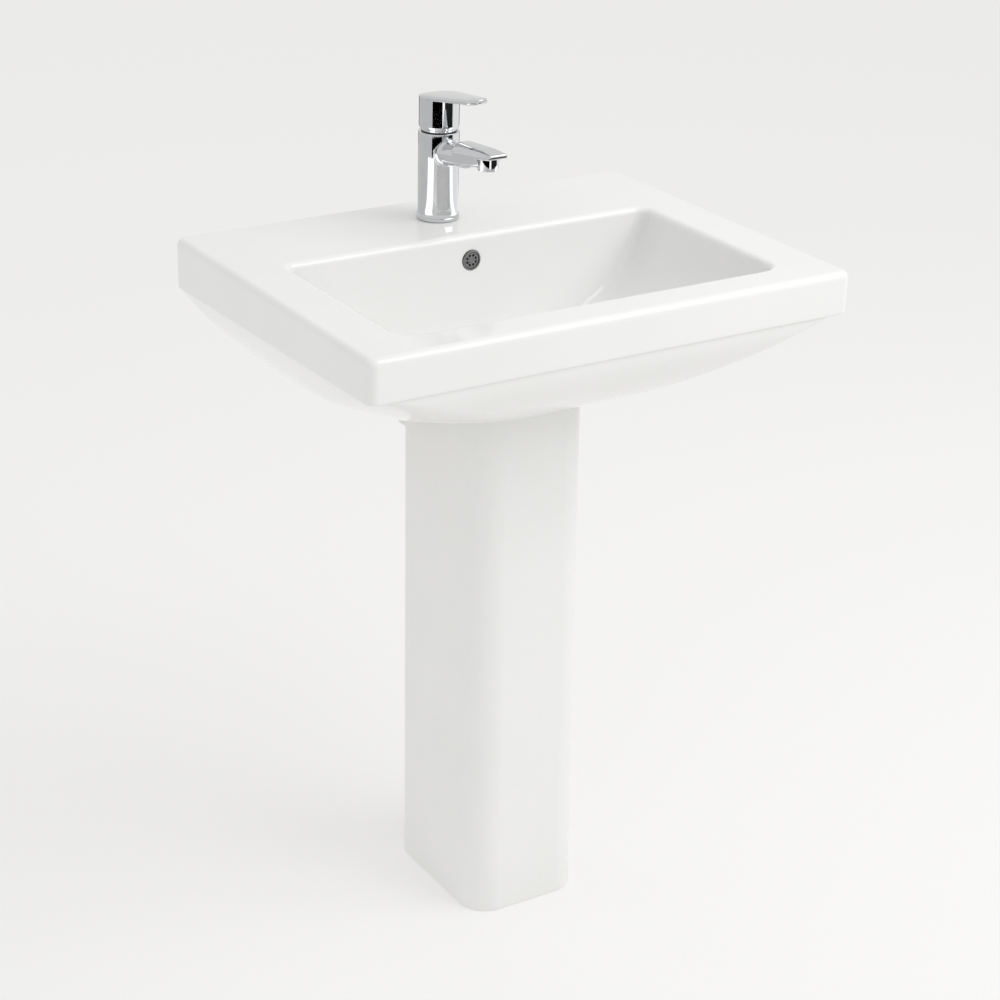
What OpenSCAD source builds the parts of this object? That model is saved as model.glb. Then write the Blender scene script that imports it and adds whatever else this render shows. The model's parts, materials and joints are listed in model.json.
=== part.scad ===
// Pedestal sink: a rectangular ceramic basin on a hollow ceramic pedestal, with a single-lever
// mixer tap, a press-to-close waste and a bottle trap.
// +Z is up, +Y points into the wall and the origin is on the floor, under the basin's centre.

/* [Basin] */
// Width of the basin, side to side
basin_w = 640; // [620:5:660]
// Depth of the basin, front to wall
basin_d = 480; // [475:5:500]
// Height of the rim above the floor
rim_h = 850; // [830:5:870]
// Height of the apron at the front
apron_h = 52; // [46:1:58]
// How much taller the apron is at the wall
apron_drop = 11; // [6:1:14]
// Height of the whole basin
basin_h = 190; // [186:1:196]
// Wall thickness of the ceramic
china_t = 9; // [8:0.5:12]
// Radius of the rim's outer top edge
rim_r = 9; // [6:0.5:11]

/* [Bowl] */
// Width of the flat rim at each side of the bowl
side_rim = 60; // [55:1:70]
// Width of the flat rim in front of the bowl
front_rim = 45; // [42:1:55]
// Depth of the ledge behind the bowl
ledge = 145; // [140:1:148]
// Depth of the bowl at the waste
bowl_depth = 138; // [132:1:140]

/* [Pedestal] */
// Width of the pedestal at the floor
pedestal_w = 160; // [156:1:166]
// Thickness of the pedestal's walls
pedestal_t = 13; // [11:0.5:14]
// Radius of the pedestal's two front corners
pedestal_r = 38; // [34:1:46]

/* [Tap] */
// Diameter of the tap's body
tap_d = 50; // [49:0.5:51]
// Height of the tap's body above the ledge
tap_body_h = 110; // [108:0.5:112]
// Distance from the tap's axis to the aerator
spout_reach = 115; // [108:1:122]
// Distance from the tap's axis to the lever's tip
lever_reach = 98; // [92:1:104]
// Rise of the lever towards its tip, in degrees
lever_rise = 8; // [4:0.5:12]
// Diameter of the hole that the tap stands in
tap_hole_d = 35; // [34:0.5:36]

/* [Waste and trap] */
// Outside diameter of the waste's threaded tail
tail_d = 41.8; // [41.4:0.1:42.2]
// Outside diameter of the trap's pipes
pipe_d = 32; // [31.5:0.1:32.5]
// Height of the outlet pipe above the floor
outlet_h = 565; // [555:1:575]

/* [Fixings] */
// Distance between the two wall bolts
wall_bolt_spacing = 280; // [260:5:300]
// Diameter of the wall bolt holes
wall_bolt_hole_d = 16; // [14:0.5:18]
// Distance between the pedestal's two floor screws
floor_screw_spacing = 104; // [100:1:106]
// Diameter of the floor screw holes
floor_screw_hole_d = 7; // [6:0.5:8]

/* [Hidden] */
$fn = 64;

// Places shared by several pieces
wall_y = basin_d / 2;
front_y = -basin_d / 2;
drain_y = wall_y - 240;
tap_y = wall_y - 72;
base_z = rim_h - basin_h;
apron_z = rim_h - apron_h;
floor_z = rim_h - bowl_depth;
ledge_t = 18;
ledge_under_z = rim_h - ledge_t;

// Colours
china = "whitesmoke";
chrome = "silver";
rubber = "dimgray";
plastic = "gainsboro";

// A quarter-curve from 0 to 1 that leaves steeply or gently by its two powers
function bulge(t, p, q) = pow(1 - pow(1 - t, p), 1 / q);
function mix(a, b, t) = a + (b - a) * t;

function arc(cx, cy, r, start, n, z) =
    [for (i = [0:n]) [cx + r * cos(start + 90 * i / n), cy + r * sin(start + 90 * i / n), z]];

// A level rectangle of half-width a from y0 to y1, with front corners r0 and back corners r1
function ring(a, y0, y1, r0, r1, z, n = 6) = concat(
    arc(a - r0, y0 + r0, r0, -90, n, z), arc(a - r1, y1 - r1, r1, 0, n, z),
    arc(r1 - a, y1 - r1, r1, 90, n, z), arc(r0 - a, y0 + r0, r0, 180, n, z));

// Lowers a ring towards the wall by as much as drop
function tilted(points, drop) =
    [for (p = points) [p.x, p.y, p.z - drop * (p.y - front_y) / basin_d]];

// A closed solid through level rings, lowest ring first
module loft(rings) {
    n = len(rings[0]);
    m = len(rings);
    sides = [for (i = [0:m - 2], j = [0:n - 1]) let (k = (j + 1) % n) each [
        [i * n + j, (i + 1) * n + j, (i + 1) * n + k],
        [i * n + j, (i + 1) * n + k, i * n + k]]];
    polyhedron([for (r = rings) each r],
        concat(sides, [[for (j = [0:n - 1]) j], [for (j = [n - 1:-1:0]) (m - 1) * n + j]]));
}

module tube(r, bore, h) {
    difference() {
        cylinder(r = r, h = h);
        translate([0, 0, -1]) cylinder(r = bore, h = h + 2);
    }
}

// ---------- Basin ----------
apron_lip = 3;
corner_r = 12;
belly_steps = 9;

// One ring of the rounded underside, t = 0 at the base and 1 under the apron
function belly(t, inset) =
    let (a = mix(170, basin_w / 2 - apron_lip, bulge(t, 1.04, 1.48)) - inset,
        y0 = mix(drain_y, front_y + apron_lip, bulge(t, 2, 1.18)) + inset,
        r = mix(210, 30, pow(t, 2.15)))
    tilted(ring(a, y0, wall_y - inset, min(r, 0.94 * a), 6, mix(base_z, apron_z, t) + inset),
        apron_drop * t);

module basin_outside() {
    rounding = [for (s = [30:30:90]) ring(basin_w / 2 - rim_r * (1 - cos(s)),
        front_y + rim_r * (1 - cos(s)), wall_y, corner_r - rim_r * (1 - cos(s)) * 0.8, 5,
        rim_h - rim_r + rim_r * sin(s))];
    loft(concat([for (i = [0:belly_steps]) belly(pow(i / belly_steps, 1.5), 0)],
        [tilted(ring(basin_w / 2 - 1, front_y + 1, wall_y, corner_r - 1, 5, apron_z + 1), apron_drop),
        tilted(ring(basin_w / 2, front_y, wall_y, corner_r, 5, apron_z + 3), apron_drop),
        ring(basin_w / 2, front_y, wall_y, corner_r, 5, rim_h - rim_r)], rounding));
}

// The space inside the shell, which the bowl hangs in
module basin_inside() {
    steps = 5;
    loft(concat([for (i = [0:steps]) belly(pow(i / steps, 1.5), china_t)],
        [ring(basin_w / 2 - china_t - 2, front_y + china_t + 2, wall_y - china_t - 2, 9, 5,
            ledge_under_z)]));
}

bowl_edge_r = 8;
bowl_wall_z = rim_h - bowl_edge_r;
bowl_rise = 4;

// One ring of the bowl, t = 0 at the edge of its floor and 1 under the rounded edge
function bowl_ring(t, grow) =
    let (k = bulge(t, 2, 2), back = wall_y - ledge - bowl_edge_r)
    ring(mix(80, basin_w / 2 - side_rim - bowl_edge_r, k) + grow,
        mix(drain_y - 110, front_y + front_rim + bowl_edge_r, k) - grow,
        mix(drain_y + 49, back, k) + grow,
        mix(45, 24, sqrt(t)) + grow, mix(45, 14, sqrt(t)) + grow,
        mix(floor_z + bowl_rise, bowl_wall_z, t) - grow);

module bowl(grow = 0, steps = 7) {
    edge = [for (s = [60, 30, 0]) let (out = bowl_edge_r * (1 - sin(s))) ring(
        basin_w / 2 - side_rim - bowl_edge_r + out, front_y + front_rim + bowl_edge_r - out,
        wall_y - ledge - bowl_edge_r + out, 24 + out, 14 + out, bowl_wall_z + bowl_edge_r * cos(s))];
    top = basin_w / 2 - side_rim;
    over = [ring(top, front_y + front_rim, wall_y - ledge, 24 + bowl_edge_r, 14 + bowl_edge_r,
        rim_h + 2)];
    walls = [for (i = [0:steps]) bowl_ring(pow(i / steps, 1.3), grow)];
    drain = [for (p = ring(34, -34, 34, 33, 33, floor_z - grow)) [p.x, p.y + drain_y, p.z]];
    if (grow > 0) loft(concat([drain], walls));
    else loft(concat([drain], walls, edge, over));
}

duct_y = wall_y - ledge + 7;
duct_w = 20;
duct_d = 12;
duct_low_z = floor_z - 28;
overflow_z = rim_h - 32;
overflow_r = 12.8;
overflow_seat_y = 1 + mix(drain_y + 49, wall_y - ledge - bowl_edge_r,
    bulge((overflow_z - floor_z - bowl_rise) / (bowl_wall_z - floor_z - bowl_rise), 2, 2));
waste_hole_r = 23;
waste_boss_r = 46;
waste_flange_t = 3;

// The waste's boss and the overflow's duct, which join the bowl to the underside
module basin_cores() {
    translate([0, drain_y, base_z - 1]) cylinder(r = waste_boss_r, h = bowl_depth);
    translate([-duct_w / 2 - 9, duct_y - 20, base_z]) cube([duct_w + 18, duct_d + 29, basin_h - 10]);
    translate([-duct_w / 2 - 9, drain_y, base_z]) cube([duct_w + 18, duct_y - drain_y, 50]);
}

module overflow_way() {
    translate([-duct_w / 2, duct_y, duct_low_z]) cube([duct_w, duct_d, overflow_z + 10 - duct_low_z]);
    translate([-duct_w / 2, drain_y, duct_low_z]) cube([duct_w, duct_y + duct_d - drain_y, 12]);
    translate([0, duct_y + duct_d / 2, overflow_z]) rotate([90, 0, 0]) cylinder(r = 9.5, h = 40);
    translate([0, overflow_seat_y, overflow_z]) rotate([90, 0, 0])
        cylinder(r = overflow_r + 0.2, h = 30);
}

service_w = 210;
wall_bolt_z = rim_h - 62;

module basin_holes() {
    bowl();
    overflow_way();
    translate([0, drain_y, base_z - 1]) cylinder(r = waste_hole_r, h = basin_h);
    translate([0, drain_y, floor_z - waste_flange_t - 1.5]) cylinder(r = 32, h = 30);
    translate([0, tap_y, ledge_under_z - 2]) cylinder(d = tap_hole_d, h = ledge_t + 4);
    translate([-service_w / 2, duct_y + duct_d + 14, base_z - 1])
        cube([service_w, basin_d, basin_h - 96]);
    for (s = [-1, 1]) translate([s * wall_bolt_spacing / 2, wall_y + 1, wall_bolt_z])
        rotate([90, 0, 0]) cylinder(d = wall_bolt_hole_d, h = china_t + 8);
}

// The basin is cast in two parts that are stuck together before it is fired:
// the shell with the rim and the underside, and the bowl that hangs inside it
module basin_shell() {
    color(china) difference() {
        basin_outside();
        basin_inside();
        basin_holes();
    }
}

module basin_bowl() {
    color(china) difference() {
        intersection() {
            union() {
                bowl(china_t, 5);
                basin_cores();
            }
            basin_inside();
        }
        basin_holes();
    }
}

module overflow_ring() {
    holes = 8;
    color(chrome) translate([0, overflow_seat_y, overflow_z]) rotate([90, 0, 0]) {
        translate([0, 0, -14]) tube(9.3, 8, 14.1);
        difference() {
            cylinder(r = overflow_r, h = 1.4);
            for (i = [0:holes - 1]) rotate(360 / holes * (i + 0.5)) translate([5.6, 0, -1])
                cylinder(r = 1.4, h = 4);
        }
        translate([0, 0, 1.3]) tube(overflow_r, overflow_r - 3, 1.3);
    }
}

// ---------- Pedestal ----------
pedestal_gap = 2;
foot_h = 12;
screw_y = drain_y + 84;

function column(a, y0, y1, r0, z) = [for (p = ring(a, y0, y1, r0, 5, z, 8)) [p.x, p.y + drain_y, p.z]];

module pedestal() {
    foot_a = pedestal_w / 2;
    top_z = base_z + 60;
    color(china) difference() {
        loft([column(foot_a - 1.5, -82.5, 98.5, pedestal_r - 1, 0),
            column(foot_a, -84, 100, pedestal_r, 2),
            column(foot_a - 2, -70, 112, pedestal_r, top_z)]);
        difference() {
            loft([column(foot_a - pedestal_t, -84 + pedestal_t, 140, pedestal_r - pedestal_t, -1),
                column(foot_a - 2 - pedestal_t, -70 + pedestal_t, 150, pedestal_r - pedestal_t,
                    top_z + 1)]);
            for (s = [-1, 1]) translate([s * foot_a * 0.7 - 18, drain_y + 68, -2])
                cube([36, 30, foot_h + 2]);
        }
        for (s = [-1, 1]) translate([s * floor_screw_spacing / 2, screw_y, -1])
            cylinder(d = floor_screw_hole_d, h = foot_h + 2);
        translate([0, 0, -pedestal_gap]) basin_outside();
    }
}

module basin_pads() {
    color(rubber) for (s = [-1, 1])
        translate([s * (pedestal_w / 2 - pedestal_t / 2 - 2) - 4, drain_y + 40, base_z - pedestal_gap])
            cube([8, 60, pedestal_gap]);
}

// ---------- Waste ----------
tail_r = tail_d / 2;
tail_bore = 17.5;
tail_end_z = base_z - 34;
plug_travel = 8;

module at_drain(z) {
    translate([0, drain_y, z]) children();
}

module waste_body() {
    color(chrome) at_drain(0) difference() {
        rotate_extrude() polygon([[tail_bore, tail_end_z], [tail_r, tail_end_z],
            [tail_r, floor_z - 7], [tail_r + 1.6, floor_z - waste_flange_t],
            [31.5, floor_z - waste_flange_t], [31.5, floor_z - 1], [29.5, floor_z + 0.6],
            [25.5, floor_z + 0.6], [22, floor_z - 1.4], [tail_bore, floor_z - 5]]);
        for (s = [0, 90]) rotate(s) translate([-8, -30, duct_low_z + 1]) cube([16, 60, 10]);
    }
}

module waste_top_seal() {
    color(rubber) at_drain(floor_z - waste_flange_t - 1.5) tube(30.5, 23.2, 1.5);
}

module waste_bottom_seal() {
    color(rubber) at_drain(base_z - 5) tube(32, tail_r + 0.05, 5);
}

module waste_backnut() {
    color("goldenrod") at_drain(base_z - 14) difference() {
        union() {
            cylinder(r = 30, h = 9, $fn = 8);
            translate([0, 0, 7]) cylinder(r = 30.5, h = 2);
        }
        translate([0, 0, -1]) cylinder(r = tail_r, h = 12);
    }
}

// The plug rests on its seat at joint value 0, and clicks up by plug_travel
module waste_plug() {
    color(chrome) at_drain(floor_z) rotate_extrude() polygon([[0, -1.2], [20.5, -1.2], [25.4, 0.9],
        [29, 1.1], [29.4, 2.2], [28.4, 3.2], [20, 4.4], [0, 5]]);
}

module plug_stem() {
    color("goldenrod") at_drain(floor_z) rotate_extrude() polygon([[0, -40], [3.9, -40],
        [3.9, -12], [6, -10], [6, -8], [14, -7], [14, -5.4], [5, -1.25], [0, -1.25]]);
}

module plug_seal() {
    color(rubber) at_drain(floor_z - 5) difference() {
        rotate_extrude() translate([15.2, 0]) circle(r = 1.9);
        translate([0, 0, -10]) cylinder(r = 14.02, h = 20);
    }
}

module plug_latch() {
    color(plastic) at_drain(floor_z - 60) {
        difference() {
            union() {
                cylinder(r = 7.5, h = 38);
                for (s = [0, 120, 240]) rotate(s) translate([0, -1.5, 0]) cube([tail_bore - 0.1, 3, 9]);
            }
            translate([0, 0, 6]) cylinder(r = 3.96, h = 40);
        }
    }
}

// ---------- Trap ----------
pipe_r = pipe_d / 2;
pipe_t = 1.5;
spigot_l = 45;
spigot_r = pipe_r - 0.25;
head_r = 29;
head_low_z = outlet_h - 24;
head_top_z = outlet_h + 24;
bottle_h = 92;

// A ribbed plastic union nut, open at the top to thread_r and at its floor to pipe_hole
module union_nut(r, thread_r, pipe_hole, h) {
    ribs = 12;
    floor_t = 3;
    difference() {
        union() {
            cylinder(r = r - 1.5, h = h);
            for (i = [0:ribs - 1]) rotate(360 / ribs * i) translate([r - 3, -2, 1]) cube([3, 4, h - 2]);
        }
        translate([0, 0, floor_t]) cylinder(r = thread_r, h = h);
        translate([0, 0, -1]) cylinder(r = pipe_hole, h = h);
    }
}

module trap_inlet_nut() {
    color(plastic) at_drain(tail_end_z - 8) union_nut(28, tail_r, pipe_r + 0.3, 20);
}

module trap_inlet_washer() {
    color(rubber) at_drain(tail_end_z - 2) tube(20.5, pipe_r - 0.8, 2);
}

module trap_inlet_tube() {
    color(plastic) at_drain(0) rotate_extrude() polygon([
        [pipe_r - pipe_t, head_low_z - 40], [pipe_r, head_low_z - 40], [pipe_r, tail_end_z - 5],
        [20.5, tail_end_z - 5], [20.5, tail_end_z - 2], [pipe_r - pipe_t, tail_end_z - 2]]);
}

module trap_top_nut() {
    color(plastic) at_drain(head_top_z + 16) rotate([180, 0, 0]) union_nut(26, 20, pipe_r + 0.3, 18);
}

module trap_top_seal() {
    color(rubber) at_drain(head_top_z + 10) tube(19.5, pipe_r + 0.02, 3);
}

module trap_body() {
    color(plastic) at_drain(0) difference() {
        union() {
            translate([0, 0, head_low_z]) cylinder(r = head_r, h = head_top_z - head_low_z - 6);
            translate([0, 0, head_top_z - 7]) cylinder(r1 = head_r, r2 = 20, h = 7);
            translate([0, 0, head_top_z - 1]) cylinder(r = 20, h = 11);
            translate([0, 0, head_low_z - 10]) cylinder(r = head_r + 2.2, h = 11);
            translate([0, 0, outlet_h]) rotate([-90, 0, 0]) cylinder(r = 20, h = 52);
        }
        translate([0, 0, head_low_z - 11]) cylinder(r = head_r - 3, h = head_top_z - head_low_z + 4);
        translate([0, 0, head_low_z]) cylinder(r = pipe_r + 0.3, h = 80);
        translate([0, 0, outlet_h]) rotate([-90, 0, 0]) cylinder(r = pipe_r + 0.3, h = 53);
    }
}

module trap_bottle() {
    z = head_low_z - bottle_h;
    bottle_r = head_r + 5;
    color(plastic) at_drain(z) {
        rotate_extrude() polygon([[0, 0], [20, 0], [28, 5], [30, 12], [30, bottle_h - 22],
            [bottle_r, bottle_h - 18], [bottle_r, bottle_h], [head_r + 2.3, bottle_h],
            [head_r + 2.3, bottle_h - 15], [27, bottle_h - 15], [27, 13], [25, 8], [19, 3], [0, 3]]);
        for (i = [0:15]) rotate(360 / 16 * i) translate([bottle_r - 1, -2, bottle_h - 17])
            cube([2.4, 4, 15]);
    }
}

module trap_bottle_seal() {
    color(rubber) at_drain(head_low_z - 15) tube(head_r + 2, 27.2, 4.9);
}

module along_outlet(y) {
    translate([0, drain_y + y, outlet_h]) rotate([-90, 0, 0]) children();
}

module trap_outlet_nut() {
    color(plastic) along_outlet(58) rotate([180, 0, 0]) union_nut(26, 20, pipe_r + 0.3, 18);
}

module trap_outlet_seal() {
    color(rubber) along_outlet(52) tube(19.5, pipe_r + 0.02, 3);
}

// The pipe's far end is a slightly slimmer spigot that enters the wall drain's collar
module outlet_pipe() {
    start = 36;
    end = wall_y - drain_y - 0.5;
    shoulder = end - spigot_l;
    color(plastic) along_outlet(0) rotate_extrude() polygon([
        [pipe_r - pipe_t, start], [pipe_r, start], [pipe_r, shoulder],
        [spigot_r, shoulder + 0.5], [spigot_r, end - 1], [spigot_r - 0.7, end],
        [pipe_r - pipe_t, end]]);
}

// ---------- Tap ----------
tap_r = tap_d / 2;
ring_h = 5;
chamber_r = 18;
chamber_z = tap_body_h - 34;
pivot_z = tap_body_h + 5;
spout_z = 86;
spout_rise = 8;
aerator_z = 89;
aerator_r = 12;
hose_x = 9.5;
hose_y = -3;
hose_r = 4.5;
hose_len = 22;
stud_y = 12;
stud_r = 3.96;

module at_tap(z = 0) {
    translate([0, tap_y, rim_h + z]) children();
}

// A section across the spout: a rectangle with round corners, standing at distance y
module spout_section(y, z, w, h, r) {
    translate([0, -y, z]) rotate([90, 0, 0]) linear_extrude(0.5) offset(r, $fn = 32)
        square([w - 2 * r, h - 2 * r], center = true);
}

// The head, and the thin lip that runs on past the aerator
module spout_head() {
    hull() {
        spout_section(58, 95.5, 34, 29, 10);
        spout_section(116, 102.8, 32, 20, 7);
    }
    hull() {
        spout_section(112, 107.8, 31.6, 8.6, 3);
        spout_section(138, 109.3, 26, 6.4, 2.6);
    }
}

module spout_bore() {
    translate([0, -8, 84]) rotate([90 - spout_rise, 0, 0]) cylinder(r = 6.5, h = spout_reach - 10);
    translate([0, -spout_reach, aerator_z - 1]) cylinder(r = aerator_r - 1, h = 12);
    translate([0, -spout_reach, aerator_z - 1]) cylinder(r = aerator_r + 0.7, h = 4);
}

module tap_body() {
    color(chrome) at_tap() difference() {
        union() {
            translate([0, 0, ring_h]) cylinder(r = tap_r, h = tap_body_h - ring_h);
            translate([0, 0, ring_h]) cylinder(r1 = tap_r + 1.2, r2 = tap_r - 0.01, h = 9);
            translate([0, -15, spout_z - 1]) rotate([90 - spout_rise, 0, 0]) cylinder(r = 13.5, h = 50);
            spout_head();
            translate([0, -spout_reach, aerator_z + 3]) cylinder(r = aerator_r + 1.5, h = 15);
        }
        translate([0, 0, chamber_z]) cylinder(r = chamber_r, h = 60);
        translate([0, 0, chamber_z - 8]) cylinder(r = 6, h = 20);
        spout_bore();
        translate([0, -8, 70]) cylinder(r = 6.5, h = 14);
        for (s = [-1, 1]) translate([s * hose_x, hose_y, 0]) {
            cylinder(r = hose_r, h = ring_h + hose_len);
            cylinder(r = 3, h = chamber_z + 1);
        }
        translate([0, stud_y, 0]) cylinder(r = stud_r, h = ring_h + 20);
    }
}

module tap_base_ring() {
    color(chrome) at_tap() difference() {
        rotate_extrude() polygon([[17.2, 0.3], [25.6, 0.3], [26.5, 1.2], [26.5, 4.2], [25.9, ring_h],
            [17.2, ring_h]]);
        translate([0, 0, -1]) tube(23.5, 20, 2.8);
    }
}

module tap_base_seal() {
    color(rubber) at_tap() tube(23.45, 20.05, 1.8);
}

stud_low = -62;

module tap_stud() {
    color("darkgray") at_tap(stud_low) translate([0, stud_y, 0])
        cylinder(r = stud_r, h = ring_h + 20 - stud_low);
}

module horseshoe(r, t) {
    difference() {
        cylinder(r = r, h = t);
        hull() for (y = [0, -40]) translate([0, -7 + y, -1]) cylinder(r = 15.5, h = t + 2);
        translate([0, stud_y, -1]) cylinder(r = stud_r + 0.3, h = t + 2);
    }
}

module horseshoe_washer() {
    color(rubber) at_tap(-ledge_t - 3) horseshoe(26, 3);
}

module horseshoe_plate() {
    color("darkgray") at_tap(-ledge_t - 5.5) horseshoe(25, 2.5);
}

module tap_nut() {
    color("goldenrod") at_tap(-ledge_t - 13.5) translate([0, stud_y, 0]) difference() {
        cylinder(r = 7.5, h = 8, $fn = 6);
        translate([0, 0, -1]) cylinder(r = stud_r, h = 10);
    }
}

// ---------- Cartridge ----------
port_r = 2.6;
socket_l = 10;

module cartridge_ports(h) {
    for (a = [30, 150, 270]) rotate(a) translate([7.2, 0, -1]) cylinder(r = port_r, h = h + 2);
}

module cartridge_base() {
    color(plastic) at_tap(chamber_z + 1.2) difference() {
        cylinder(r = 15.4, h = 6.8);
        cartridge_ports(8);
        for (a = [30, 150, 270]) rotate(a) translate([7.2, 0, -1]) cylinder(r = 4.3, h = 2.2);
    }
}

module cartridge_seals() {
    color(rubber) at_tap(chamber_z) for (a = [30, 150, 270]) rotate(a) translate([7.2, 0, 0])
        tube(4.25, port_r, 2.4);
}

module fixed_disc() {
    color("white") at_tap(chamber_z + 8) difference() {
        cylinder(r = 15, h = 4);
        cartridge_ports(4);
    }
}

module cartridge_housing() {
    color(plastic) at_tap() difference() {
        union() {
            translate([0, 0, chamber_z + 1.2]) cylinder(r = 17.6, h = 25);
            translate([0, 0, chamber_z + 25]) cylinder(r = 14, h = 21);
        }
        translate([0, 0, chamber_z]) cylinder(r = 15.5, h = 23.5);
        translate([0, 0, chamber_z + 18]) cylinder(r = 11.4, h = 40);
    }
}

// The moving disc and its carrier slide along the rotor's slot as the lever tilts
module moving_disc() {
    color("white") at_tap(chamber_z + 12.05) difference() {
        cylinder(r = 10.6, h = 3.6);
        translate([0, 0, -1]) cylinder(r = 6.4, h = 3);
    }
}

module disc_carrier() {
    color(plastic) at_tap(chamber_z + 15.65) difference() {
        union() {
            cylinder(r = 10.6, h = 5);
            cylinder(r = 5.4, h = 16);
        }
        translate([0, 0, 8]) cylinder(r = 3.75, h = 12);
    }
}

module cartridge_rotor() {
    color("lightgray") at_tap() difference() {
        translate([0, 0, chamber_z + 24.5]) cylinder(r = 11.34, h = 21);
        translate([0, 0, chamber_z + 23]) cylinder(r = 9.9, h = 11);
        translate([-4.2, -7, chamber_z + 28]) cube([8.4, 15, 20]);
        translate([-15, 0, pivot_z]) rotate([0, 90, 0]) cylinder(r = 1.55, h = 30);
    }
}

module pivot_pin() {
    color("darkgray") at_tap(pivot_z) translate([-10, 0, 0]) rotate([0, 90, 0])
        cylinder(r = 1.55, h = 20);
}

module spindle() {
    bar = 7;
    color("darkgray") at_tap(pivot_z) difference() {
        union() {
            translate([-bar / 2, -bar / 2, -1]) cube([bar, bar, 31]);
            translate([-bar / 2, 0, 0]) rotate([0, 90, 0]) cylinder(r = 4.6, h = bar);
            translate([0, 0, -socket_l]) cylinder(r = 2.4, h = socket_l);
            translate([0, 0, -socket_l]) sphere(r = 3.5);
        }
        translate([-15, 0, 0]) rotate([0, 90, 0]) cylinder(r = 1.62, h = 30);
    }
}

module cartridge_nut() {
    color("goldenrod") at_tap(chamber_z + 26.3) difference() {
        union() {
            cylinder(r = chamber_r, h = 7.7);
            translate([0, 0, 7.6]) cylinder(r = 17.6, h = 5, $fn = 8);
        }
        translate([0, 0, -1]) cylinder(r = 14.05, h = 20);
    }
}

dome_r = 22.2;

// A spherical cover about the lever's pivot, so the lever's skirt can tilt over it
module dome_cover() {
    color(chrome) at_tap(pivot_z) difference() {
        sphere(r = dome_r, $fn = 96);
        sphere(r = dome_r - 1.8, $fn = 96);
        translate([0, 0, -45]) cube([60, 60, 80], center = true);
        cylinder(r = 15, h = 30);
    }
}

// ---------- Lever ----------
skirt_r = 24.6;
skirt_bore = 22.7;
skirt_z = -1;
plate_z = 37.5;
plate_t = 7;
plate_lip = 0.3;
tip_r = 14.5;
screw_z = 24;
tilt_clear = 24;

// The lever is drawn about its pivot, with its tip towards -Y
module lever_plate(grow, t) {
    rotate([-lever_rise, 0, 0]) hull() {
        cylinder(r = skirt_r + grow, h = t, $fn = 64);
        translate([0, tip_r - lever_reach, 0]) cylinder(r = tip_r + grow, h = t, $fn = 64);
    }
}

module handle() {
    color(chrome) at_tap(pivot_z) difference() {
        union() {
            difference() {
                union() {
                    translate([0, 0, skirt_z]) cylinder(r1 = skirt_r - 1.5, r2 = skirt_r - 0.5, h = 2);
                    translate([0, 0, skirt_z + 2]) cylinder(r1 = skirt_r - 0.5, r2 = skirt_r, h = 2.5);
                    translate([0, 0, skirt_z + 4.5]) cylinder(r = skirt_r, h = 43);
                }
                translate([0, 0, skirt_z - 1]) cylinder(r = skirt_bore, h = plate_z - 7);
                translate([0, 0, plate_z]) rotate([-lever_rise, 0, 0])
                    translate([0, 0, 32]) cube([120, 120, 60], center = true);
            }
            translate([0, 0, plate_z - 3.5]) lever_plate(plate_lip, plate_t);
            translate([0, 0, 18.5]) cylinder(r = 7.5, h = 14);
        }
        translate([-3.52, -3.52, 0]) cube([7.04, 7.04, 30.2]);
        translate([0, 8, skirt_z]) rotate([tilt_clear, 0, 0]) translate([0, 30, -20])
            cube([80, 60, 40], center = true);
        translate([0, 3, screw_z]) rotate([-90, 0, 0]) cylinder(r = 2.5, h = 30);
        translate([0, skirt_bore - 1, screw_z]) rotate([-90, 0, 0]) cylinder(r = 3.6, h = 10);
    }
}

module handle_screw() {
    color("darkgray") at_tap(pivot_z) translate([0, 3.52, screw_z]) rotate([-90, 0, 0])
        difference() {
            cylinder(r = 2.48, h = 6.5);
            translate([0, 0, 3.5]) cylinder(r = 1.45, h = 4, $fn = 6);
        }
}

module handle_plug() {
    color(chrome) at_tap(pivot_z) translate([0, skirt_bore - 0.9, screw_z]) rotate([-90, 0, 0])
        cylinder(r = 3.55, h = 2.1);
}

// ---------- Aerator ----------
module at_aerator(z) {
    at_tap(aerator_z + z) translate([0, -spout_reach, 0]) children();
}

module aerator_housing() {
    color(chrome) at_aerator(0) tube(aerator_r + 0.5, 9, 3);
    color(chrome) at_aerator(2.9) tube(aerator_r - 1.02, 9, 7);
}

module aerator_insert() {
    color(plastic) at_aerator(0.6) difference() {
        cylinder(r = 8.96, h = 8);
        for (x = [-2:2], y = [-2:2]) if (x * x + y * y < 6) translate([x * 3, y * 3, -1])
            cylinder(r = 1, h = 6);
        translate([0, 0, 4.4]) cylinder(r = 7.4, h = 5);
    }
}

module aerator_seal() {
    color(rubber) at_aerator(9.95) tube(10.9, 8, 1);
}

basin_shell();
basin_bowl();
pedestal();
basin_pads();
overflow_ring();
waste_body();
waste_top_seal();
waste_bottom_seal();
waste_backnut();
waste_plug();
plug_stem();
plug_seal();
plug_latch();
trap_inlet_nut();
trap_inlet_washer();
trap_inlet_tube();
trap_top_nut();
trap_top_seal();
trap_body();
trap_bottle();
trap_bottle_seal();
trap_outlet_nut();
trap_outlet_seal();
outlet_pipe();
tap_body();
tap_base_ring();
tap_base_seal();
tap_stud();
horseshoe_washer();
horseshoe_plate();
tap_nut();
cartridge_housing();
cartridge_base();
cartridge_seals();
fixed_disc();
moving_disc();
disc_carrier();
cartridge_rotor();
pivot_pin();
spindle();
cartridge_nut();
dome_cover();
handle();
handle_screw();
handle_plug();
aerator_housing();
aerator_insert();
aerator_seal();
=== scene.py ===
import json
import math

import bmesh
import bpy
from mathutils import Matrix, Vector


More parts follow.
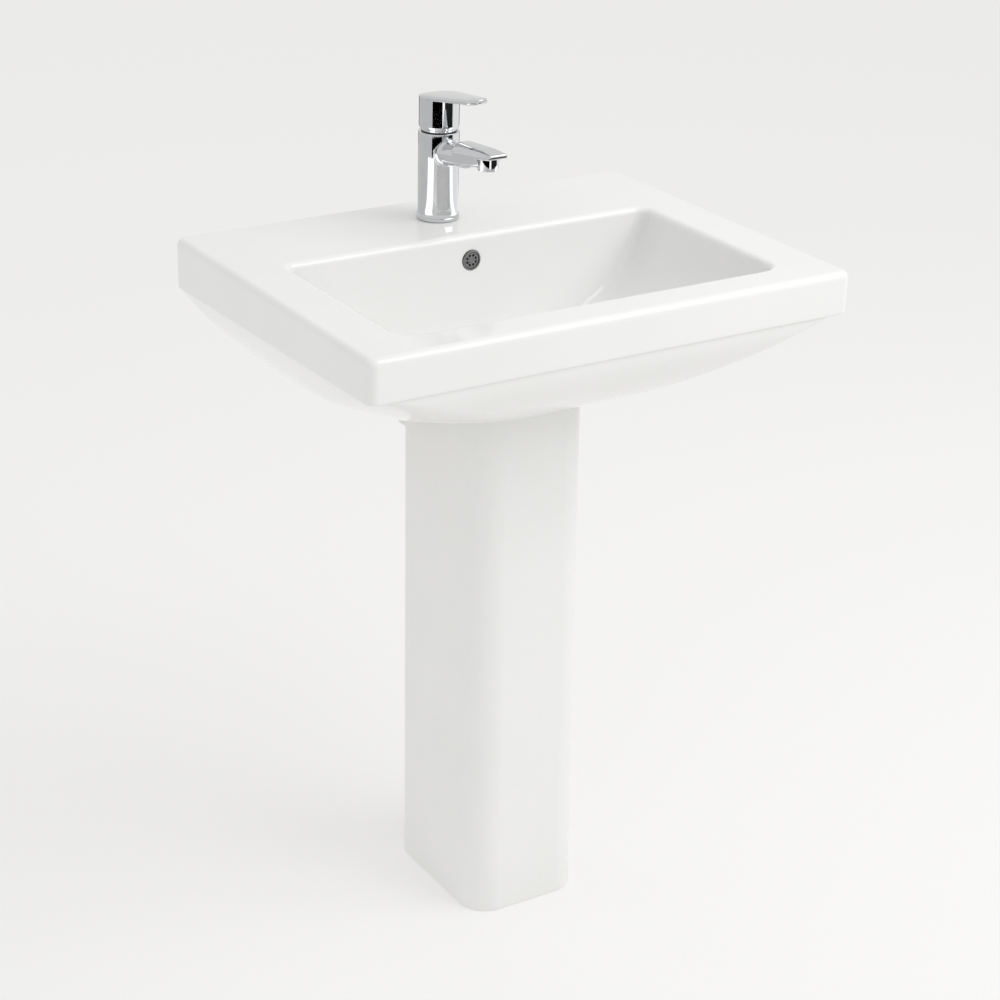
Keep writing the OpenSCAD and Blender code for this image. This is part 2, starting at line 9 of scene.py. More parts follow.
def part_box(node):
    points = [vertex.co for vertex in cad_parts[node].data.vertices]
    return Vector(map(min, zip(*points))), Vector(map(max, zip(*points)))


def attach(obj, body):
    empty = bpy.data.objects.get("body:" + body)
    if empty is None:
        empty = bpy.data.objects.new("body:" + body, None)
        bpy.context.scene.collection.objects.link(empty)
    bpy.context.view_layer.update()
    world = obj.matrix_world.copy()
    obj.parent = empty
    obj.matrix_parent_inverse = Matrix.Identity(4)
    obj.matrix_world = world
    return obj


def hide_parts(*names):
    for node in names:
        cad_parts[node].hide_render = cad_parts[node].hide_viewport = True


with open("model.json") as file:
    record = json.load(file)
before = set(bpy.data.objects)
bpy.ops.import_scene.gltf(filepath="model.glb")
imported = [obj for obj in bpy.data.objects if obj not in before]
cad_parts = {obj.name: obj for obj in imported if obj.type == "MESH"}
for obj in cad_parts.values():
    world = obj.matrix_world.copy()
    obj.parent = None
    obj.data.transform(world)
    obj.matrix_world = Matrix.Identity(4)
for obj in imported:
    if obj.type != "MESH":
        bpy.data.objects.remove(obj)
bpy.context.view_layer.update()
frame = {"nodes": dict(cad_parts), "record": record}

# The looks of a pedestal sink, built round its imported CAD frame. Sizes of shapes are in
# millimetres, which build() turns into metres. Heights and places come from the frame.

MM = 0.001
MERGE = 1e-7                     # points closer than this, in metres, are one point


# ---------- sizes that the frame gives ----------
def edges(node):
    """Lowest and highest corner of a CAD node, in millimetres."""
    low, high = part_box(node)
    return low * 1000, high * 1000


BASIN_LOW, BASIN_HIGH = edges("basin_shell")
HALF_W = BASIN_HIGH.x
FRONT = BASIN_LOW.y
WALL = BASIN_HIGH.y
RIM = BASIN_HIGH.z
BASE = BASIN_LOW.z
DEPTH = WALL - FRONT
PIVOT = sum(edges("pivot_pin"), Vector()) / 2
TAP = Vector((PIVOT.x, PIVOT.y, RIM))
DRAIN = sum(edges("waste_plug"), Vector()) / 2
OVERFLOW_LOW, OVERFLOW_HIGH = edges("overflow_ring")


# ---------- shape helpers ----------
def mix(a, b, t):
    return a + (b - a) * t


def bulge(t, p, q):
    """A curve from 0 to 1 that rises steeply and then levels out."""
    return (1 - (1 - t) ** p) ** (1 / q)


def arc(cx, cy, r, start, n, z):
    """A quarter circle at a height, from a start angle in degrees."""
    return [(cx + r * math.cos(math.radians(start + 90 * i / n)),
             cy + r * math.sin(math.radians(start + 90 * i / n)), z) for i in range(n + 1)]


def ring(a, y0, y1, r0, r1, z, n=20):
    """A rounded rectangle of half width a, with radius r0 at its front and r1 at its back."""
    return (arc(a - r0, y0 + r0, r0, -90, n, z) + arc(a - r1, y1 - r1, r1, 0, n, z)
            + arc(r1 - a, y1 - r1, r1, 90, n, z) + arc(r0 - a, y0 + r0, r0, 180, n, z))


def tilted(points, drop):
    """The points, lowered by up to drop from the basin's front to the wall."""
    return [(x, y, z - drop * (y - FRONT) / DEPTH) for x, y, z in points]


def fillet(corners, n=5):
    """A 2-D outline with each corner (x, y, radius) rounded."""
    out = []
    count = len(corners)
    for i, (x, y, r) in enumerate(corners):
        here = Vector((x, y))
        if r <= 0:
            out.append((x, y))
            continue
        before = (Vector(corners[i - 1][:2]) - here)
        after = (Vector(corners[(i + 1) % count][:2]) - here)
        half = before.angle(after) / 2
        reach = min(r / math.tan(half), before.length * 0.49, after.length * 0.49)
        a, b = here + before.normalized() * reach, here + after.normalized() * reach
        for k in range(n + 1):
            t = k / n
            p = (1 - t) ** 2 * a + 2 * t * (1 - t) * here + t * t * b
            out.append((p.x, p.y))
    return out


def build(name, verts, faces, mats, angle=38):
    """A mesh object from points in millimetres."""
    mesh = bpy.data.meshes.new(name)
    mesh.from_pydata([(x * MM, y * MM, z * MM) for x, y, z in verts], [], faces)
    piece = bpy.data.objects.new(name, mesh)
    bpy.context.scene.collection.objects.link(piece)
    for m in mats:
        mesh.materials.append(m)
    tidy(piece, angle)
    return piece


def tidy(piece, angle=38):
    """Merges doubled points, faces every side outwards and smooths all but the sharp edges."""
    mesh = piece.data
    bm = bmesh.new()
    bm.from_mesh(mesh)
    bmesh.ops.remove_doubles(bm, verts=bm.verts, dist=MERGE)
    bmesh.ops.dissolve_degenerate(bm, dist=MERGE, edges=bm.edges)
    bmesh.ops.recalc_face_normals(bm, faces=bm.faces)
    for f in bm.faces:
        f.smooth = True
    bm.to_mesh(mesh)
    bm.free()
    mesh.set_sharp_from_angle(angle=math.radians(angle))


def loft(name, rings, mats, angle=38):
    """A closed skin through rings of equally many points."""
    n = len(rings[0])
    verts = [p for r in rings for p in r]
    faces = [(i * n + j, i * n + (j + 1) % n, (i + 1) * n + (j + 1) % n, (i + 1) * n + j)
             for i in range(len(rings) - 1) for j in range(n)]
    faces += [tuple(reversed(range(n))), tuple(range((len(rings) - 1) * n, len(rings) * n))]
    return build(name, verts, faces, mats, angle)


def lathe(name, outline, mats, place=(0, 0, 0), turn=None, segments=128, angle=38):
    """Turns a closed outline of (radius, height) about Z, then turns it and puts it in place."""
    matrix = Matrix.Translation(Vector(place)) @ (turn.to_4x4() if turn else Matrix.Identity(4))
    verts, faces = [], []
    n = len(outline)
    for i in range(segments):
        a = 2 * math.pi * i / segments
        for r, z in outline:
            verts.append(tuple(matrix @ Vector((r * math.cos(a), r * math.sin(a), z))))
    for i in range(segments):
        for j in range(n):
            k, m = (i + 1) % segments, (j + 1) % n
            if outline[j][0] == 0 and outline[m][0] == 0:
                continue
            quad = [i * n + j, k * n + j, k * n + m, i * n + m]
            if outline[j][0] == 0:
                quad = [i * n + j, k * n + m, i * n + m]
            elif outline[m][0] == 0:
                quad = [i * n + j, k * n + j, i * n + m]
            faces.append(tuple(quad))
    return build(name, verts, faces, mats, angle)


def block(low, high):
    """A plain box between two corners."""
    verts = [(x, y, z) for x in (low[0], high[0]) for y in (low[1], high[1])
             for z in (low[2], high[2])]
    faces = [(0, 1, 3, 2), (4, 6, 7, 5), (0, 4, 5, 1), (2, 3, 7, 6), (0, 2, 6, 4), (1, 5, 7, 3)]
    return build("cutter", verts, faces, [])


def rod(start, end, r, segments=64):
    """A plain round bar from start to end."""
    start, end = Vector(start), Vector(end)
    turn = (end - start).to_track_quat("Z", "Y").to_matrix()
    length = (end - start).length
    return lathe("cutter", [(0, 0), (r, 0), (r, length), (0, length)], [], start, turn, segments)


def combine(piece, others, operation="DIFFERENCE", angle=38, index=0):
    """Cuts the others out of the piece, or joins them to it, and removes them.

    The faces that they leave take the piece's material of that index.
    """
    for other in others:
        if index:
            while len(other.data.materials) < len(piece.data.materials):
                other.data.materials.append(piece.data.materials[len(other.data.materials)])
            for f in other.data.polygons:
                f.material_index = index
        step = piece.modifiers.new("join", "BOOLEAN")
        step.operation, step.solver, step.object = operation, "EXACT", other
        apply_modifiers(piece)
    for other in others:
        bpy.data.objects.remove(other)
    tidy(piece, angle)
    return piece


def apply_modifiers(piece):
    """Keeps what the modifiers make of the piece as its own mesh."""
    bpy.context.view_layer.update()
    graph = bpy.context.evaluated_depsgraph_get()
    mesh = bpy.data.meshes.new_from_object(piece.evaluated_get(graph), depsgraph=graph)
    piece.modifiers.clear()
    piece.data = mesh


# ---------- materials ----------
def ramp(nodes, links, source, low, high, start=0.35, end=0.65):
    """Stretches source from start..end to low..high."""
    node = nodes.new("ShaderNodeMapRange")
    for socket, value in zip(("From Min", "From Max", "To Min", "To Max"), (start, end, low, high)):
        node.inputs[socket].default_value = value
    links.new(source, node.inputs["Value"])
    return node.outputs["Result"]


def noise(nodes, links, where, scale, detail=3.0):
    node = nodes.new("ShaderNodeTexNoise")
    node.inputs["Scale"].default_value = scale
    node.inputs["Detail"].default_value = detail
    node.inputs["Roughness"].default_value = 0.55
    links.new(where, node.inputs["Vector"])
    return node.outputs["Fac"]


def blended(nodes, links, factor, first, second):
    """A colour between two, each a colour or a socket."""
    node = nodes.new("ShaderNodeMix")
    node.data_type = "RGBA"
    links.new(factor, node.inputs[0])
    for socket, colour in ((6, first), (7, second)):
        if isinstance(colour, tuple):
            node.inputs[socket].default_value = (*colour, 1)
        else:
            links.new(colour, node.inputs[socket])
    return node.outputs[2]


def surface(name, colour, rough, other, spread, tint_scale, rough_scale, bumps,
            stretch=(1, 1, 1), specks=None, **fixed):
    """A procedural material: two close colours, uneven roughness and bumps of a real depth.

    rough varies by spread; each bump is (scale, depth in mm); specks is (scale, size, colour).
    """
    mat = bpy.data.materials.new(name)
    mat.use_nodes = True
    nodes, links = mat.node_tree.nodes, mat.node_tree.links
    shader = nodes["Principled BSDF"]
    for socket, value in fixed.items():
        shader.inputs[socket.replace("_", " ")].default_value = value
    where = nodes.new("ShaderNodeTexCoord").outputs["Object"]
    if stretch != (1, 1, 1):
        mapping = nodes.new("ShaderNodeMapping")
        mapping.inputs["Scale"].default_value = stretch
        links.new(where, mapping.inputs["Vector"])
        where = mapping.outputs["Vector"]
    tone = blended(nodes, links, ramp(nodes, links, noise(nodes, links, where, tint_scale), 0, 1),
                   colour, other)
    if specks:
        scale, size, dark = specks
        dots = nodes.new("ShaderNodeTexVoronoi")
        dots.inputs["Scale"].default_value = scale
        links.new(where, dots.inputs["Vector"])
        near = ramp(nodes, links, dots.outputs["Distance"], 1, 0, size * 0.6, size)
        some = ramp(nodes, links, noise(nodes, links, where, scale * 0.23, 2), 0, 1, 0.6, 0.66)
        both = nodes.new("ShaderNodeMath")
        both.operation = "MULTIPLY"
        links.new(near, both.inputs[0])
        links.new(some, both.inputs[1])
        tone = blended(nodes, links, both.outputs["Value"], tone, dark)
    links.new(tone, shader.inputs["Base Color"])
    links.new(ramp(nodes, links, noise(nodes, links, where, rough_scale, 4),
                   max(rough - spread, 0.01), rough + spread), shader.inputs["Roughness"])
    normal = None
    for scale, depth in bumps:
        bump = nodes.new("ShaderNodeBump")
        bump.inputs["Strength"].default_value = 1
        bump.inputs["Distance"].default_value = depth * MM
        links.new(noise(nodes, links, where, scale, 2), bump.inputs["Height"])
        if normal:
            links.new(normal, bump.inputs["Normal"])
        normal = bump.outputs["Normal"]
    if normal:
        links.new(normal, shader.inputs["Normal"])
    return mat


GLAZE = surface("glazed_china", (0.865, 0.863, 0.855), 0.09, (0.85, 0.85, 0.84), 0.025, 9, 14,
                bumps=((7, 0.30), (60, 0.012)), specks=(420, 0.10, (0.62, 0.60, 0.56)), IOR=1.5)
BISQUE = surface("unglazed_china", (0.74, 0.725, 0.69), 0.72, (0.68, 0.66, 0.62), 0.08, 22, 160,
                 bumps=((900, 0.05), (160, 0.06)), specks=(260, 0.16, (0.50, 0.46, 0.40)))
CHROME = surface("chrome_plate", (0.663, 0.67, 0.682), 0.045, (0.643, 0.65, 0.662), 0.02, 60, 45,
                 bumps=((35, 0.010),), Metallic=1.0)
SATIN_CHROME = surface("satin_chrome", (0.30, 0.30, 0.31), 0.24, (0.25, 0.25, 0.26), 0.06, 260,
                       500, bumps=((900, 0.01),), Metallic=1.0)
STEEL = surface("brushed_steel", (0.52, 0.51, 0.50), 0.34, (0.45, 0.44, 0.43), 0.10, 180, 240,
                bumps=((300, 0.01),), stretch=(1, 1, 0.06), Metallic=1.0)
BRASS = surface("turned_brass", (0.62, 0.46, 0.20), 0.27, (0.52, 0.37, 0.16), 0.09, 90, 300,
                bumps=((420, 0.012),), stretch=(1, 1, 5), Metallic=1.0)
PLASTIC = surface("moulded_plastic", (0.80, 0.80, 0.785), 0.33, (0.775, 0.775, 0.755), 0.07, 40,
                  150, bumps=((700, 0.012), (45, 0.06)), IOR=1.49)
RUBBER = surface("black_rubber", (0.030, 0.030, 0.032), 0.62, (0.045, 0.044, 0.043), 0.1, 120,
                 300, bumps=((1200, 0.015),))
DISC = surface("polished_disc", (0.86, 0.85, 0.83), 0.16, (0.82, 0.81, 0.79), 0.05, 150, 400,
               bumps=((1500, 0.002),))


def stand_for(piece, body, slot, *nodes):
    """Says which body the piece rides on and the nodes that it replaces; slot is not used."""
    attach(piece, body)
    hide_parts(*nodes)
    return piece


# ---------- basin ----------
CHINA_T = 9
APRON = RIM - 52                 # lower edge of the apron at the front
APRON_DROP = 11                  # how much lower that edge is at the wall
LIP = 3                          # rounding of that edge
CORNER, BACK_R = 12, 5           # the slab's corner radius at the front and at the wall
RIM_R = 9                        # rounding of the rim's outer edge
SIDE_RIM, FRONT_RIM, LEDGE = 60, 45, 145
FLAT = 1.5                       # a strip beside each rounding that keeps the rim flat
BELLY_HALF_W, BELLY_R, BELLY_TOP_R, BELLY_BACK_R = 170, 210, 30, 6
BOWL_R = 8                       # rounding of the bowl's edge
BOWL_FRONT_R, BOWL_BACK_R = 24, 14
FLOOR = RIM - 138                # the bowl's floor at the drain
BOWL_RISE = 4                    # how much higher the floor is at its edge
FLOOR_HALF_W, FLOOR_AHEAD, FLOOR_BEHIND, FLOOR_R = 80, 110, 49, 45
WALL_TOP = RIM - BOWL_R
DRAIN_EDGE_R = 34.0


def belly_plan(t, inset=0.0):
    """Half width, front edge and front corner radius of the belly at a share of its height."""
    half = mix(BELLY_HALF_W, HALF_W - LIP, bulge(t, 1.04, 1.48)) - inset
    front = mix(DRAIN.y, FRONT + LIP, bulge(t, 2, 1.18)) + inset
    return half, front, min(mix(BELLY_R, BELLY_TOP_R, t ** 2.15), 0.94 * half)


def belly(t, inset=0.0, lift=None, n=20):
    half, front, r = belly_plan(t, inset)
    z = mix(BASE, APRON, t) + (inset if lift is None else lift)
    return tilted(ring(half, front, WALL - inset, r, BELLY_BACK_R, z, n), APRON_DROP * t)


def bowl_ring(t, grow=0.0, n=20):
    """The bowl's outline at a share of its height."""
    k = bulge(t, 2, 2)
    return ring(mix(FLOOR_HALF_W, HALF_W - SIDE_RIM - BOWL_R, k) + grow,
                mix(DRAIN.y - FLOOR_AHEAD, FRONT + FRONT_RIM + BOWL_R, k) - grow,
                mix(DRAIN.y + FLOOR_BEHIND, WALL - LEDGE - BOWL_R, k) + grow,
                mix(FLOOR_R, BOWL_FRONT_R, math.sqrt(t)) + grow,
                mix(FLOOR_R, BOWL_BACK_R, math.sqrt(t)) + grow,
                mix(FLOOR + BOWL_RISE, WALL_TOP, t) - grow, n)


def drain_ring(z, n=20):
    r, corner = DRAIN_EDGE_R, DRAIN_EDGE_R - 0.01
    return [(x, y + DRAIN.y, z) for x, y, _ in ring(r, -r, r, corner, corner, z, n)]


def basin_skin():
    """The outer skin, from the belly's base over the rim and down the bowl to the drain."""
    rings = [belly(0, 3, 0)] + [belly((i / 56) ** 1.8) for i in range(57)]
    for s in range(15, 91, 15):
        out, up = LIP * math.sin(math.radians(s)), LIP * (1 - math.cos(math.radians(s)))
        rings.append(tilted(ring(HALF_W - LIP + out, FRONT + LIP - out, WALL, CORNER - LIP + out,
                                 BACK_R, APRON + up), APRON_DROP))
    rings.append(tilted(ring(HALF_W, FRONT, WALL, CORNER, BACK_R, APRON + LIP + 4),
                        APRON_DROP * 0.98))
    rings.append(ring(HALF_W, FRONT, WALL, CORNER, BACK_R, RIM - RIM_R - 3))
    for s in range(0, 91, 9):
        out = RIM_R * (1 - math.cos(math.radians(s)))
        rings.append(ring(HALF_W - out, FRONT + out, WALL, CORNER - out * 0.8, BACK_R,
                          RIM - RIM_R + RIM_R * math.sin(math.radians(s))))
    rings.append(ring(HALF_W - RIM_R - FLAT, FRONT + RIM_R + FLAT, WALL - FLAT,
                      CORNER - RIM_R * 0.8 - 0.8, 4, RIM))
    top = HALF_W - SIDE_RIM
    rings.append(ring(top + FLAT, FRONT + FRONT_RIM - FLAT, WALL - LEDGE + FLAT,
                      BOWL_FRONT_R + BOWL_R + FLAT, BOWL_BACK_R + BOWL_R + FLAT, RIM))
    for s in range(0, 90, 9):
        out = BOWL_R * (1 - math.sin(math.radians(s)))
        rings.append(ring(top - BOWL_R + out, FRONT + FRONT_RIM + BOWL_R - out,
                          WALL - LEDGE - BOWL_R + out, BOWL_FRONT_R + out, BOWL_BACK_R + out,
                          WALL_TOP + BOWL_R * math.cos(math.radians(s))))
    rings += [bowl_ring((i / 60) ** 1.7) for i in range(60, -1, -1)]
    last, drain = bowl_ring(0), drain_ring(FLOOR)
    for i in range(1, 10):
        u = i / 10
        rings.append([(mix(p[0], q[0], u), mix(p[1], q[1], u), FLOOR + BOWL_RISE * (1 - u) ** 1.6)
                      for p, q in zip(last, drain)])
    rings.append(drain)
    return loft("basin_china", rings, [GLAZE, BISQUE], 30)


DUCT_Y = WALL - LEDGE + 7
DUCT_W, DUCT_D = 20, 12
DUCT_LOW = FLOOR - 28
OVERFLOW_Z = (OVERFLOW_LOW.z + OVERFLOW_HIGH.z) / 2
OVERFLOW_R = (OVERFLOW_HIGH.z - OVERFLOW_LOW.z) / 2
OVERFLOW_SEAT = OVERFLOW_LOW.y + 2.6
FLANGE_T = 3
BOSS_R = 46                      # boss round the waste, in the hollow
WASTE_HOLE_R, FLANGE_SEAT_R = 23, 31.9
TAP_HOLE_R = 17.5
BOLT_X, BOLT_Z, BOLT_R = 140, RIM - 62, 8
SERVICE_HALF_W, SERVICE_H = 105, 93


def basin_hollow():
    """The space inside the casting, round the bowl, the waste's boss and the overflow's duct."""
    n = 10
    hollow = loft("cutter", [belly((i / 12) ** 1.6, CHINA_T, None, n) for i in range(13)]
                  + [ring(HALF_W - CHINA_T - 2, FRONT + CHINA_T + 2, WALL - CHINA_T - 2, CHINA_T,
                          BACK_R, RIM - 2 * CHINA_T, n)], [])
    bowl = loft("cutter", [drain_ring(FLOOR - CHINA_T, n=n)]
                + [bowl_ring((i / 12) ** 1.4, CHINA_T, n) for i in range(13)], [])
    cores = [rod((0, DRAIN.y, BASE - 1), (0, DRAIN.y, RIM - 12), BOSS_R),
             block((-DUCT_W / 2 - CHINA_T, DUCT_Y - 20, BASE),
                   (DUCT_W / 2 + CHINA_T, DUCT_Y + DUCT_D + CHINA_T, RIM - 10)),
             block((-DUCT_W / 2 - CHINA_T, DRAIN.y, BASE),
                   (DUCT_W / 2 + CHINA_T, DUCT_Y, BASE + 50))]
    return combine(hollow, [bowl] + cores)


def make_basin():
    """The casting with its hollow, duct, holes and seats; its unglazed faces are bisque."""
    basin = basin_skin()
    back = DUCT_Y + DUCT_D
    half = DUCT_W / 2
    cutters = [
        basin_hollow(),
        block((-half, DUCT_Y, DUCT_LOW), (half, back, OVERFLOW_Z + 10)),
        block((-half, DRAIN.y, DUCT_LOW), (half, back, DUCT_LOW + 12)),
        rod((0, DUCT_Y + DUCT_D / 2, OVERFLOW_Z), (0, DUCT_Y - 34, OVERFLOW_Z), 9.5),
        rod((0, DRAIN.y, BASE - 1), (0, DRAIN.y, RIM), WASTE_HOLE_R, segments=96),
        rod((0, TAP.y, RIM - 20), (0, TAP.y, RIM + 2), TAP_HOLE_R, segments=96),
        block((-SERVICE_HALF_W, back + 14, BASE - 1),
              (SERVICE_HALF_W, WALL + 20, BASE + SERVICE_H)),
    ] + [rod((s * BOLT_X, WALL + 1, BOLT_Z), (s * BOLT_X, WALL - CHINA_T - 7, BOLT_Z), BOLT_R)
         for s in (-1, 1)]
    combine(basin, cutters, angle=30, index=1)
    seats = [
        rod((0, OVERFLOW_SEAT, OVERFLOW_Z), (0, OVERFLOW_SEAT - 30, OVERFLOW_Z), OVERFLOW_R + 0.15,
            segments=96),
        rod((0, DRAIN.y, FLOOR - FLANGE_T - 1.5), (0, DRAIN.y, RIM), FLANGE_SEAT_R, segments=128),
    ]
    combine(basin, seats, angle=30)
    for f in basin.data.polygons:
        centre = f.center * 1000
        if centre.y > WALL - 0.5 or (f.normal.z < -0.99 and centre.z < BASE + 0.5):
            f.material_index = 1
    return basin


stand_for(make_basin(), "sink", "china", "basin_shell", "basin_bowl")


# ---------- pedestal ----------
PED_T = 13
PED_R = 38                       # radius of the two front corners
PED_TOP = BASE + 60
PED_ROUND = 5                    # rounding of the two back edges
PED_GAP, PED_LIP = 0.3, 1.6      # gap under the basin, and rounding of the upper edge
SOLE = 2                         # the column narrows from this height up
FOOT_HALF_W, FOOT_FRONT, FOOT_BACK = 80, -84, 100
HEAD_HALF_W, HEAD_FRONT, HEAD_BACK = 78, -70, 112
LUG_X, LUG_HALF_W, LUG_T = 56, 18, 12
FLOOR_SCREW_X, FLOOR_SCREW_Y, FLOOR_SCREW_R = 52, DRAIN.y + 84, 3.5


def belly_inside(x, y, t):
    """Whether a point of the plan lies inside the belly's outline at a share of its height."""
    half, front, r = belly_plan(t)
    if abs(x) > half or y < front:
        return False
    dx, dy = abs(x) - (half - r), (front + r) - y
    return dx <= 0 or dy <= 0 or math.hypot(dx, dy) <= r


def under_belly(x, y):
    """Height of the basin's underside above a point."""
    low, high = 0.0, 1.0
    for _ in range(34):
        t = (low + high) / 2
        if belly_inside(x, y, t):
            high = t
        else:
            low = t
    t = high if high > 1e-6 else 0.0
    return mix(BASE, APRON, t) - APRON_DROP * t * (y - FRONT) / DEPTH


def ped_path(z, inset):
    """Half-open outline of the column at a height: right back edge, round the front, left back edge."""
    v = (z - SOLE) / (PED_TOP - SOLE)
    a = mix(FOOT_HALF_W, HEAD_HALF_W, v) - inset
    y0 = mix(FOOT_FRONT, HEAD_FRONT, v) + DRAIN.y + inset
    y1 = mix(FOOT_BACK, HEAD_BACK, v) + DRAIN.y
    r = PED_R - inset
    round_steps, side_steps, front_steps = 5, 26, 8
    path = []
    for i in range(round_steps + 1):
        s = math.radians(90 - 18 * i)
        if inset < PED_T:
            soft = max(PED_ROUND - inset, 0.4)
            path.append((a - soft + soft * math.cos(s), y1 - soft + soft * math.sin(s)))
        else:
            path.append((a, y1 - PED_ROUND * i / round_steps))
    start = path[-1][1]
    path += [(a, mix(start, y0 + r, i / side_steps)) for i in range(1, side_steps)]
    for i in range(side_steps + 1):
        s = math.radians(-90 * i / side_steps)
        path.append((a - r + r * math.cos(s), y0 + r + r * math.sin(s)))
    path += [(mix(a - r, 0, i / front_steps), y0) for i in range(1, front_steps + 1)]
    return path + [(-x, y) for x, y in reversed(path[:-1])]


def flat_loop(z, inset):
    return [(x, y, z) for x, y in ped_path(z, inset)]


def upper_loop(crown, inset, drop):
    """The column's path just under the basin, moved inwards by inset and down by drop."""
    loop = []
    for i, h in enumerate(crown):
        x, y = ped_path(h, inset)[i]
        loop.append((x, y, under_belly(x, y) - PED_GAP - drop))
    return loop


def make_pedestal():
    """The hollow column, open at the back, whose top follows the basin's underside."""
    sole_h = 2.2
    loops = [flat_loop(z, inset) for z, inset in ((0, 2.2), (0.35, 1.1), (1.0, 0.35), (sole_h, 0))]
    crown = [under_belly(x, y) - PED_GAP for x, y in ped_path(BASE, 0)]
    for k in range(1, 13):
        levels = [mix(sole_h, h - PED_LIP, k / 12) for h in crown]
        loops.append([(*ped_path(z, 0)[i], z) for i, z in enumerate(levels)])
    for s in (18, 36, 54, 72, 90):
        loops.append(upper_loop(crown, PED_LIP * (1 - math.cos(math.radians(s))),
                                PED_LIP * (1 - math.sin(math.radians(s)))))
    for inset, drop in ((5, 0), (9, 0), (PED_T - 1.0, 0), (PED_T, 1.2)):
        loops.append(upper_loop(crown, inset, drop))
    loops += [flat_loop(z, PED_T) for z in (300, 0)]
    verts = [p for loop in loops for p in loop]
    count, k = len(crown), len(loops)
    faces = []
    for j in range(k):
        m = (j + 1) % k
        for i in range(count - 1):
            faces.append((j * count + i, j * count + i + 1, m * count + i + 1, m * count + i))
    faces.append(tuple(j * count for j in range(k)))
    faces.append(tuple(j * count + count - 1 for j in reversed(range(k))))
    column = build("pedestal_china", verts, faces, [GLAZE, BISQUE], 32)
    lugs = []
    for s in (-1, 1):
        lug = block((s * LUG_X - LUG_HALF_W, FLOOR_SCREW_Y - 16, 0),
                    (s * LUG_X + LUG_HALF_W, FLOOR_SCREW_Y + 12, LUG_T))
        combine(lug, [rod((s * FLOOR_SCREW_X, FLOOR_SCREW_Y, -1),
                          (s * FLOOR_SCREW_X, FLOOR_SCREW_Y, LUG_T + 2), FLOOR_SCREW_R)])
        lugs.append(lug)
    combine(column, lugs, "UNION", 32, 1)
    for f in column.data.polygons:
        c = f.center * 1000
        if c.z < 0.9 or f.normal.z > 0.5 and c.z > BASE - 3:
            f.material_index = 1
    return column


stand_for(make_pedestal(), "sink", "china", "pedestal")


# ---------- overflow ring ----------
FORWARD = Matrix.Rotation(math.radians(90), 3, "X")
STRAINER_HOLES, STRAINER_RING_R, STRAINER_HOLE_R = 8, 6.3, 1.6


def make_overflow():
    """The trim with its strainer holes; black rubber paints shade on the holes' walls and in two thin
    gaps.
    """
    r = OVERFLOW_R
    outline = fillet([(8, -14, 0.3), (9.3, -14, 0.3), (9.3, 0, 0), (r - 0.2, 0, 0.2),
                      (r, 1.1, 0.9), (r - 0.9, 2.6, 0.7), (r - 2.3, 2.6, 0.5), (r - 3.0, 1.4, 0.3),
                      (0, 1.75, 0), (0, 0, 0), (8, 0, 0)])
    piece = lathe("overflow_trim", outline, [SATIN_CHROME, RUBBER], (0, OVERFLOW_SEAT, OVERFLOW_Z),
                  FORWARD, 96)
    holes = []
    for i in range(STRAINER_HOLES):
        a = math.radians(360 / STRAINER_HOLES * (i + 0.5))
        x, z = STRAINER_RING_R * math.cos(a), OVERFLOW_Z + STRAINER_RING_R * math.sin(a)
        holes.append(rod((x, OVERFLOW_SEAT + 3, z), (x, OVERFLOW_SEAT - 4, z), STRAINER_HOLE_R,
                         segments=24))
    # The holes' walls take black rubber: painted shade inside the holes.
    combine(piece, holes, angle=30, index=1)
    # Black rubber is painted shade in the thin groove inside the raised rim and round the outer edge
    # where the trim meets the china. The shank behind the seat takes the black too.
    for f in piece.data.polygons:
        out = math.hypot(f.center.x * 1000, f.center.z * 1000 - OVERFLOW_Z)
        if f.center.y * 1000 > OVERFLOW_SEAT - 0.1 or r - 3.2 < out < r - 2.2 or out > r - 0.6:
            f.material_index = 1
    return piece


stand_for(make_overflow(), "sink", "chrome", "overflow_ring")


# ---------- waste ----------
TAIL_R, TAIL_BORE = 20.9, 17.5
TAIL_END = BASE - 34
ROOT_R = TAIL_R - 0.65           # radius between the thread's ridges
PITCH = 2.1
SLOT_HALF_W = 8


def make_waste():
    """The flange and its threaded tail, with slots that let the overflow's water in."""
    f = FLOOR
    outline = [(TAIL_BORE, TAIL_END, 0.4), (TAIL_R - 0.7, TAIL_END, 0.4)]
    outline = fillet(outline + [(TAIL_R - 0.7, TAIL_END + 1, 0)], 3)
    z = TAIL_END + 1.5
    while z < f - 12:
        outline += [(ROOT_R, z), (TAIL_R, z + 0.75), (TAIL_R, z + 1.05), (ROOT_R, z + 1.8)]
        z += PITCH
    outline += fillet([(TAIL_R, z, 0.2), (TAIL_R, f - 7, 0.5), (TAIL_R + 1.6, f - 3, 0.5),
                       (31.5, f - 3, 0.3), (31.5, f - 0.6, 0.5), (29.6, f + 0.6, 1.6),
                       (25.5, f + 0.6, 0.8), (22, f - 1.4, 0.6), (TAIL_BORE, f - 5, 0.6)])
    waste = lathe("waste_flange", outline, [CHROME], (0, DRAIN.y, 0), None, 112)
    slots = [block((-x, DRAIN.y - y, DUCT_LOW + 1), (x, DRAIN.y + y, DUCT_LOW + 11))
             for x, y in ((SLOT_HALF_W, 30), (30, SLOT_HALF_W))]
    return combine(waste, slots, angle=30)


def make_plug():
    outline = fillet([(0, -1.2, 0), (20.5, -1.2, 0.6), (25.4, 0.9, 0.4), (29, 1.1, 0.3),
                      (29.4, 2.2, 0.5), (28.4, 3.2, 1.4), (20, 4.4, 8), (0, 5, 0)])
    return lathe("waste_cap", outline, [CHROME], (0, DRAIN.y, FLOOR), None, 128, 24)


stand_for(make_waste(), "sink", "chrome", "waste_body")
stand_for(make_plug(), "plug", "chrome", "waste_plug")


